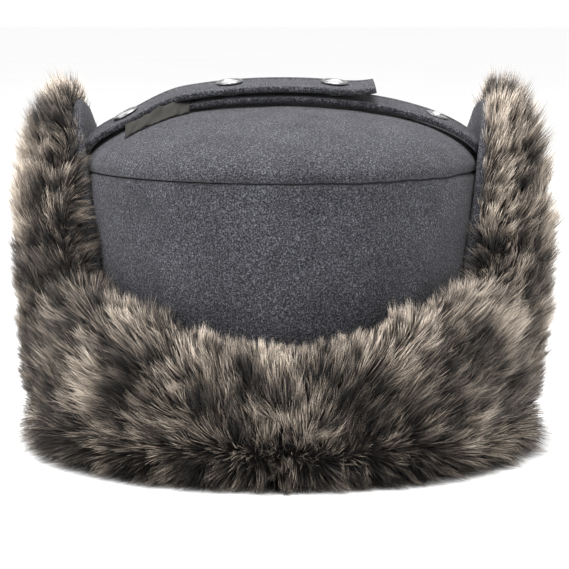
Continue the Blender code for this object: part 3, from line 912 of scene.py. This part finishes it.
class HAT_OT_lining(bpy.types.Operator):
    """Build the quilted lining, the sweatband and the blank label inside the crown"""

    bl_idname = "hat.lining"
    bl_label = "Lining and Sweatband"

    def execute(self, context):
        satin = material_called("quilted_satin", satin_material)
        count = 176
        pitch = 0.036
        rows = []
        for k in range(count):
            phi = 2.0 * math.pi * k / count
            arc = phi * 0.1
            row = []
            for m in range(41):
                z = 0.0125 + (SEAM_Z - 0.001 - 0.0125) * m / 40
                puff = 0.0016 * quilt(arc, z, pitch)
                a, b = ring(z, -LINING_INSET - 0.0010 - puff)
                row.append(Vector((a * math.sin(phi), -b * math.cos(phi), z)))
            for z in (SEAM_Z - 0.001, 0.09, 0.05, 0.0125):
                a, b = ring(z, -LINING_INSET + 0.0015)
                row.append(Vector((a * math.sin(phi), -b * math.cos(phi), z)))
            rows.append(row)
        band = tube_object("lining_side_satin", rows, [satin], closed=True)
        finish_piece(band, "crown", "lining", "lining_band")

        a0, b0 = ring(SEAM_Z, -LINING_INSET)
        rise = CROWN_TOP - SEAM_Z - LINING_INSET
        steps = 30
        verts, faces = [], []
        for k in range(count):
            phi = 2.0 * math.pi * k / count
            for m in range(steps):
                turn = 0.5 * math.pi * m / steps
                x, y = a0 * math.cos(turn) * math.sin(phi), -b0 * math.cos(turn) * math.cos(phi)
                puff = 0.0016 * quilt(x, y, pitch) * smooth(m / 3.0)
                shrink = 1.0 - (0.0010 + puff) / a0
                high = (rise - 0.0010 - puff) * math.sin(turn)
                verts.append(Vector((x * shrink, y * shrink, SEAM_Z + high)))
            for m in range(steps - 1, -1, -5):
                turn = 0.5 * math.pi * m / steps
                verts.append(Vector(((a0 + 0.0012) * math.cos(turn) * math.sin(phi),
                                     -(b0 + 0.0012) * math.cos(turn) * math.cos(phi),
                                     SEAM_Z + (rise + 0.0014) * math.sin(turn))))
        wide = len(verts) // count
        for k in range(count):
            j = (k + 1) % count
            for m in range(wide):
                if m != steps - 1:
                    n = (m + 1) % wide
                    faces.append((k * wide + m, k * wide + n, j * wide + n, j * wide + m))
        poles = [Vector((0.0, 0.0, SEAM_Z + rise - 0.0012)), Vector((0.0, 0.0, SEAM_Z + rise + 0.0014))]
        for pole, m in zip(range(2), (steps - 1, steps)):
            centre = len(verts) + pole
            faces += [(centre, k * wide + m, ((k + 1) % count) * wide + m) for k in range(count)]
        dome = mesh_object("lining_tip_satin", verts + poles, faces, [satin])
        finish_piece(dome, "crown", "lining", "lining_tip")

        ribbon = material_called("ribbed_ribbon", lambda name: ribbon_material(
            name, (0.012, 0.012, 0.014), (0.050, 0.050, 0.056)))
        rows = []
        section = [(0.0034, 0.0102), (0.0016, 0.0106), (0.0, 0.0125), (-0.0004, 0.018), (-0.0006, 0.026),
                   (-0.0004, 0.036), (0.0, 0.0405), (0.0006, SWEATBAND_TOP), (0.0012, 0.0412),
                   (0.0014, 0.036), (0.0014, 0.018), (0.0036, 0.0122)]
        for k in range(count):
            phi = 2.0 * math.pi * k / count
            row = []
            for out, z in section:
                a, b = ring(z, -BAND_INSET - 0.0016 + out)
                row.append(Vector((a * math.sin(phi), -b * math.cos(phi), z)))
            rows.append(row)
        band = tube_object("sweatband_ribbon", rows, [ribbon], closed=True)
        finish_piece(band, "crown", "sweatband", "sweatband")
        lines = []
        for z in (0.0388, 0.0145):
            line = []
            for k in range(count + 1):
                phi = 2.0 * math.pi * k / count
                a, b = ring(z, -BAND_INSET - 0.0021)
                line.append((a * math.sin(phi), -b * math.cos(phi), z))
            lines.append(line)
        finish_piece(stitches("sweatband_stitches", lines, thread(), 0.0032, 0.0012), "crown", "sweatband")

        cream = material_called("woven_label", lambda name: ribbon_material(
            name, (0.42, 0.40, 0.35), (0.66, 0.64, 0.58), 1500.0))
        rows = []
        for k in range(13):
            x = -0.016 + 0.032 * k / 12
            row = []
            for z, out in ((0.060, 0.0014), (0.060, 0.0019), (0.066, 0.0026), (0.076, 0.0026),
                           (0.082, 0.0019), (0.082, 0.0014)):
                a, b = ring(z, -LINING_INSET - 0.0012 - out)
                row.append(Vector((x, -b * math.sqrt(1.0 - (x / a) ** 2), z)))
            rows.append(row)
        finish_piece(tube_object("label_woven", rows, [cream]), "crown", "label", "blank_label")
        return {"FINISHED"}


def cloth_panel(name, side, columns, thick, lumpy):
    """A padded panel of wool with rounded edges, next to the crown."""
    inner, outer = CUFF_IN, CUFF_IN + thick
    rows = []
    for angle, top in columns:
        section = [(0.5 * (inner + outer), CUFF_FOOT - 0.0004)]
        levels = 12
        for k in range(levels + 1):
            z = CUFF_FOOT + (top - 0.0008 - CUFF_FOOT) * k / levels
            section.append((inner, z))
        section += [(inner + 0.25 * thick, top + 0.0002), (0.5 * (inner + outer), top + 0.0006),
                    (inner + 0.75 * thick, top + 0.0002)]
        for k in range(levels, -1, -1):
            section.append((outer, CUFF_FOOT + (top - 0.0008 - CUFF_FOOT) * k / levels))
        row = []
        for out, z in section:
            p = place(side, angle, z, out)
            if lumpy and out == inner:
                p = place(side, angle, z, out - 0.0005 * ripple(p, 45.0, 2.0) - 0.0002)
            row.append(p)
        rows.append(row)
    return tube_object(name, rows, [wool()])


def hem_fold(name, body, side, columns):
    """The soft fold of wool between the crown's hem and a part of the cuff."""
    rows = []
    for angle, _ in columns:
        section = [(0.0006, 0.0030), (-0.0010, 0.0042), (-0.0014, 0.0075), (-0.0012, 0.0120),
                   (-0.0004, 0.0128), (0.0004, 0.0120), (0.0006, 0.0075), (0.0014, 0.0042)]
        rows.append([place(side, angle, z, out) for out, z in section])
    fold = tube_object(name, rows, [wool()])
    if body == "crown":
        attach(fold, "crown")
    else:
        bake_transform(fold, "crown", body, start=(0.0, 0.0, 0.0100), end=(0.0, 0.0, 0.0045))


CUFF_PARTS = (
    ("left_ear", "left_ear", -1, ear_columns, 30), ("right_ear", "right_ear", 1, ear_columns, 30),
    ("neck", "neck", 1, neck_columns, 24), ("left_gusset", "left_gusset", -1, gusset_columns, 12),
    ("right_gusset", "right_gusset", 1, gusset_columns, 12), ("front", "crown", 1, front_columns, 56),
)


class HAT_OT_cuff_cloth(bpy.types.Operator):
    """Build the padded wool facings of the cuff and the folds at the hem"""

    bl_idname = "hat.cuff_cloth"
    bl_label = "Cuff Cloth"

    def execute(self, context):
        for name, body, side, columns, count in CUFF_PARTS:
            panel = cloth_panel(name + "_wool", side, columns(count), 0.0051, True)
            finish_piece(panel, body, "melton_wool", name + "_facing", name + "_batting")
            hem_fold(name + "_hem_fold", body, side, columns(count))
        return {"FINISHED"}


class HAT_OT_fur(bpy.types.Operator):
    """Grow the fur on the ear flaps, the neck, the rear corners and the front"""

    bl_idname = "hat.fur"
    bl_label = "Fur"

    def execute(self, context):
        thirds = (("_rear", -1.0, -0.36), ("_middle", -0.36, 0.30), ("_front", 0.30, 1.0))
        for word, side, seed, tuck, tuck_top in (("left", -1, 11, 2.4, 0.118), ("right", 1, 31, 2.0, 0.088)):
            ear = [(ending, ear_columns(14, first, last)) for ending, first, last in thirds]
            grow_fur(f"{word}_ear", f"{word}_ear", side, ear, seed, crest=0.68, tuck=tuck,
                     tuck_top=tuck_top)
            grow_fur(f"{word}_gusset", f"{word}_gusset", side, [("", gusset_columns(12))], seed + 7,
                     crest=0.68, tuck=0.6)
        halves = [("_left", neck_columns(12, -1.0, 0.0)), ("_right", neck_columns(12, 0.0, 1.0))]
        grow_fur("neck", "neck", 1, halves, 61)
        arcs = [("_right", front_columns(18, 0.0, 0.34)), ("_middle", front_columns(18, 0.34, 0.66)),
                ("_left", front_columns(18, 0.66, 1.0))]
        grow_fur("front", "crown", 1, arcs, 71)
        return {"FINISHED"}


def strap_climb(x, upper):
    if not upper:
        return 0.0
    over = (STRAP_THICK + STRAP_STACK) * smooth((x + STRAP_END_X + 0.034) / 0.032)
    return over + STRAP_SPRING * max(0.0, (x - STRAP_FREE_X) / (STRAP_END_X - STRAP_FREE_X)) ** 2


def strap_floor(x, upper):
    return dome_height(x) + STRAP_LIFT + strap_climb(x, upper) * math.cos(STRAP_TILT)


def strap_y(x, upper):
    return STRAP_Y - strap_climb(x, upper) * math.sin(STRAP_TILT)


def strap_frame(x, upper):
    """(middle of the underside, along, across, up) of a strap at x, for the strap on the left."""
    slope = (strap_floor(x + 1e-3, upper) - strap_floor(x - 1e-3, upper)) / 2e-3
    up = Vector((-slope, -math.tan(STRAP_TILT), 1.0)).normalized()
    along = Vector((1.0, 0.0, slope)).normalized()
    across = up.cross(along).normalized()
    return Vector((x, strap_y(x, upper), strap_floor(x, upper))), along, across, up


def strap_point(x, upper, across_share, lift, side):
    at, _, across, up = strap_frame(x, upper)
    if x <= -STRAP_ROOT_X + 1e-6:
        up = Vector((0.0, -math.sin(STRAP_TILT), math.cos(STRAP_TILT)))
        at.x -= 2.0 * across_share * STRAP_ROOT_SLANT
    at += across * across_share * STRAP_WIDTH + up * lift
    return Vector((-side * at.x, at.y, at.z))


class HAT_OT_straps(bpy.types.Operator):
    """Build the two straps over the crown, their stitching and the narrow tape"""

    bl_idname = "hat.straps"
    bl_label = "Straps"

    def execute(self, context):
        section = [(-0.5, 0.25), (-0.5, 0.75), (-0.485, 0.94), (-0.46, 1.0), (-0.36, 1.0), (-0.33, 0.93),
                   (-0.28, 1.0), (-0.1, 1.03), (0.1, 1.03), (0.28, 1.0), (0.33, 0.93), (0.36, 1.0),
                   (0.46, 1.0), (0.485, 0.94), (0.5, 0.75), (0.5, 0.25), (0.485, 0.06), (0.44, 0.0),
                   (-0.44, 0.0), (-0.485, 0.06)]
        for word, side in (("left", -1), ("right", 1)):
            upper = side < 0
            body = f"{word}_strap_body"
            rows = []
            steps = 64
            length = STRAP_ROOT_X + STRAP_END_X
            for k in range(steps + 1):
                x = -STRAP_ROOT_X + length * (1.0 - (1.0 - k / steps) ** 1.25)
                pinch = 1.0 if k < steps else 0.9
                row = []
                for share, lift in section:
                    wave = 0.00016 * ripple((x * 60.0, share * 2.0, side), 1.0, 4.0)
                    lift = 0.5 + (lift - 0.5) * pinch
                    row.append(strap_point(x, upper, share * (1.0 if k < steps else 0.985),
                                           lift * STRAP_THICK + wave, side))
                rows.append(row)
            # Painted light: the straps wear the paler copy of the wool.
            strap = tube_object(f"{word}_strap_wool", rows, [strap_wool()])
            finish_piece(strap, body, "strap_wool", f"{word}_strap")
            lines = []
            for share in (-0.345, 0.345):
                xs = np.linspace(-STRAP_ROOT_X + 0.004, STRAP_END_X - 0.004, 90)
                lines.append([strap_point(x, upper, share, STRAP_THICK * 0.98, side) for x in xs])
            lines.append([strap_point(STRAP_END_X - 0.004, upper, s, STRAP_THICK * 1.0, side)
                          for s in np.linspace(-0.345, 0.345, 12)])
            sewn = stitches(f"{word}_strap_stitches", lines, thread(), 0.0024, 0.0009, 0.0005)
            finish_piece(sewn, body, "strap_wool")

        wide, thick, long = TAPE
        rows = []
        for k in range(49):
            x = -STRAP_END_X + 0.0010 - long * k / 48
            y = -0.0340 - 0.0150 * k / 48
            low = Vector((x, y, dome_height(x, y) + 0.0010))
            tilt = TAPE_TILT + 0.09 + 0.10 * ripple((0.11 * k, 0.0, 0.0), 1.0, 8.0)
            reach = wide + 0.0010 + 0.0020 * smooth(1.3 - k / 30)
            across = Vector((0.0, math.cos(tilt), math.sin(tilt))) * reach
            up = Vector((0.0, -math.sin(tilt), math.cos(tilt)))
            row = []
            for share, lift in ((0.0, 0.3), (0.0, 0.7), (0.08, 1.0), (0.36, 1.1), (0.64, 1.1), (0.92, 1.0),
                                (1.0, 0.7), (1.0, 0.3), (0.64, 0.1), (0.36, 0.1)):
                curl = 0.0016 * ripple((0.22 * k + 1.5 * share, 1.6 * share, 1.0), 1.0, 6.0)
                row.append(low + across * share + up * (lift * thick + curl))
            rows.append(row)
        olive = material_called("olive_tape", lambda name: ribbon_material(
            name, (0.008, 0.0075, 0.006), (0.032, 0.030, 0.024), 900.0))
        finish_piece(tube_object("tape_ribbon", rows, [olive]), "right_strap_body", "tape", "tape_tab")
        return {"FINISHED"}


def lathe(name, profile, x, lift, side, upper, materials, count=40, edge_radius=None):
    """A round snap piece, square to its strap. profile: (radius, height) from the axis and back to it."""
    at, along, across, up = strap_frame(x, upper)
    at = at + up * lift
    ring_points = [p for p in profile if p[0] > 0.0]
    ends = [p for p in profile if p[0] == 0.0]
    verts = []
    for k in range(count):
        phi = 2.0 * math.pi * k / count
        for r, h in ring_points:
            p = at + along * (r * math.cos(phi)) + across * (r * math.sin(phi)) + up * h
            verts.append(Vector((-side * p.x, p.y, p.z)))
    wide = len(ring_points)
    faces = []
    whole = not ends
    for k in range(count):
        j = (k + 1) % count
        for m in range(wide if whole else wide - 1):
            n = (m + 1) % wide
            faces.append((k * wide + m, k * wide + n, j * wide + n, j * wide + m))
    if ends:
        for h, m in ((ends[0][1], 0), (ends[-1][1], wide - 1)):
            p = at + up * h
            verts.append(Vector((-side * p.x, p.y, p.z)))
            faces += [(len(verts) - 1, k * wide + m, ((k + 1) % count) * wide + m) for k in range(count)]
    obj = mesh_object(name, verts, faces, materials)
    # Painted shade: faces beyond this radius take the dark second metal, which stands in for shade on the
    # snap's edge.
    if edge_radius is not None:
        centre = Vector((-side * at.x, at.y, at.z))
        for face in obj.data.polygons:
            if (Vector(face.center) - centre).length > edge_radius:
                face.material_index = 1
    return obj


class HAT_OT_snaps(bpy.types.Operator):
    """Build the snap caps, sockets, studs and posts"""

    bl_idname = "hat.snaps"
    bl_label = "Snaps"

    def execute(self, context):
        bright = material_called("snap_face_metal", lambda name: metal_material(
            name, (0.78, 0.77, 0.75), (0.93, 0.92, 0.90), 0.30))
        # The dark metal is painted shade on the outer edges of the caps and studs.
        dark = material_called("snap_rim_metal", lambda name: metal_material(
            name, (0.13, 0.13, 0.135), (0.30, 0.30, 0.305), 0.34))
        cap = [(0.0, 0.0), (0.0060, 0.0), (0.0064, 0.0003), (0.0065, 0.0008), (0.0061, 0.0013),
               (0.0054, 0.0014), (0.0048, 0.0012), (0.0044, 0.0008), (0.0036, 0.0007), (0.0022, 0.0008),
               (0.0010, 0.0009), (0.0, 0.0009)]
        socket = [(0.0026, 0.0), (0.0052, 0.0), (0.0055, -0.0002), (0.0055, -0.0006), (0.0052, -0.0008),
                  (0.0028, -0.0008), (0.0026, -0.0006)]
        stud = [(0.0, 0.0), (0.0053, 0.0), (0.0055, 0.0002), (0.0053, 0.0004), (0.0026, 0.0005),
                (0.0019, 0.0007), (0.0021, 0.0010), (0.0018, 0.0013), (0.0010, 0.0014), (0.0, 0.0014)]
        post = [(0.0, 0.0), (0.0053, 0.0), (0.0055, -0.0003), (0.0050, -0.0006), (0.0, -0.0006)]
        play = 0.0002
        for word, side, kinds in (
            ("left", -1, (("cap", cap, STRAP_THICK + play), ("socket", socket, -play))),
            ("right", 1, (("stud", stud, STRAP_THICK + play), ("post", post, -play))),
        ):
            for k in range(3):
                x = -1.5 * SNAP_PITCH + k * SNAP_PITCH
                x -= strap_climb(x, side < 0) * (dome_height(x + 1e-3) - dome_height(x - 1e-3)) / 2e-3
                for kind, profile, lift in kinds:
                    name = f"snap_{kind}_{word}_{k + 1}"
                    # Caps and studs take the dark metal beyond this radius: painted shade on their outer
                    # edges.
                    rim = 0.0046 if kind == "cap" else 0.0036 if kind == "stud" else None
                    piece = lathe(name.replace("snap", "metal"), profile, x, lift, side, side < 0,
                                  [bright, dark], edge_radius=rim)
                    finish_piece(piece, f"{word}_strap_body", "snap_metal", name)
        return {"FINISHED"}


def area_light(name, at, target, size, power):
    data = bpy.data.lights.new(name, "AREA")
    data.shape = "DISK"
    data.size = size
    data.energy = power
    light = bpy.data.objects.new(name, data)
    light.location = at
    light.rotation_euler = (Vector(target) - Vector(at)).to_track_quat("-Z", "Y").to_euler()
    bpy.context.scene.collection.objects.link(light)


class HAT_OT_stage(bpy.types.Operator):
    """Set up the pale floor, the soft studio lights and the camera"""

    bl_idname = "hat.stage"
    bl_label = "Stage"

    def execute(self, context):
        stage = context.scene.hat_stage
        material, graph, shader = finish_material("pale_floor", 0.8, specular=0.2)
        where = graph.add("ShaderNodeTexCoord", out="Object")
        grain = graph.add("ShaderNodeTexNoise", {"Vector": where, "Scale": 3.0, "Detail": 2.0})
        colour = graph.ramp(grain, [(0.3, (0.95, 0.95, 0.95)), (0.7, (0.965, 0.965, 0.965))])
        graph.tree.links.new(colour, shader.inputs["Base Color"])
        mesh = bpy.data.meshes.new("studio_floor")
        half = 12.0
        corners = [(-half, -half, 0), (half, -half, 0), (half, half, 0), (-half, half, 0)]
        mesh.from_pydata(corners, [], [(0, 1, 2, 3)])
        mesh.materials.append(material)
        floor = bpy.data.objects.new("studio_floor", mesh)
        context.scene.collection.objects.link(floor)

        world = bpy.data.worlds.new("studio_light")
        world.use_nodes = True
        world.node_tree.nodes["Background"].inputs["Color"].default_value = (1.0, 1.0, 1.0, 1.0)
        world.node_tree.nodes["Background"].inputs["Strength"].default_value = 1.0
        context.scene.world = world
        area_light("soft_top", (0.0, -0.10, 1.5), (0.0, 0.0, 0.1), 1.1, 1.5 * stage.soft_light)
        area_light("soft_left", (-1.5, -0.6, 1.2), (0.0, 0.0, 0.09), 0.9, 0.75 * stage.soft_light)
        area_light("soft_right", (1.3, -0.9, 0.9), (0.0, 0.0, 0.09), 0.9, 0.03 * stage.soft_light)

        data = bpy.data.cameras.new("view_camera")
        data.lens = stage.lens
        data.sensor_width = 36.0
        data.clip_start = 0.05
        data.clip_end = 60.0
        camera = bpy.data.objects.new("view_camera", data)
        camera.location = (0.0012, -stage.distance, stage.height)
        camera.rotation_euler = (0.5 * math.pi - stage.pitch, 0.0, 0.0)
        context.scene.collection.objects.link(camera)
        context.scene.camera = camera
        context.scene.view_settings.view_transform = "Standard"
        return {"FINISHED"}


class HAT_PT_sidebar(bpy.types.Panel):
    """Lists the pieces of the hat"""

    bl_idname = "HAT_PT_sidebar"
    bl_label = "Trapper Hat"
    bl_space_type = "VIEW_3D"
    bl_region_type = "UI"
    bl_category = "Trapper Hat"

    def draw(self, context):
        for kind in OPERATORS:
            self.layout.operator(kind.bl_idname)
        for group in ("hat_wool", "hat_fur", "hat_stage"):
            settings = getattr(context.scene, group)
            box = self.layout.box()
            for key in settings.bl_rna.properties.keys():
                if key not in ("rna_type", "name"):
                    box.prop(settings, key)


OPERATORS = (HAT_OT_crown, HAT_OT_lining, HAT_OT_cuff_cloth, HAT_OT_fur, HAT_OT_straps, HAT_OT_snaps,
             HAT_OT_stage)
SETTINGS = (("hat_wool", HatWoolSettings), ("hat_fur", HatFurSettings), ("hat_stage", HatStageSettings))


def register():
    for key, kind in SETTINGS:
        bpy.utils.register_class(kind)
        setattr(bpy.types.Scene, key, PointerProperty(type=kind))
    for kind in (*OPERATORS, HAT_PT_sidebar):
        bpy.utils.register_class(kind)


def unregister():
    for kind in (HAT_PT_sidebar, *reversed(OPERATORS)):
        bpy.utils.unregister_class(kind)
    for key, kind in reversed(SETTINGS):
        delattr(bpy.types.Scene, key)
        bpy.utils.unregister_class(kind)


def main():
    for name in ("Cube", "Light", "Camera"):
        if name in bpy.data.objects:
            bpy.data.objects.remove(bpy.data.objects[name], do_unlink=True)
    register()
    bpy.ops.hat.crown()
    bpy.ops.hat.lining()
    bpy.ops.hat.cuff_cloth()
    bpy.ops.hat.fur()
    bpy.ops.hat.straps()
    bpy.ops.hat.snaps()
    bpy.ops.hat.stage()


if __name__ == "__main__":
    main()
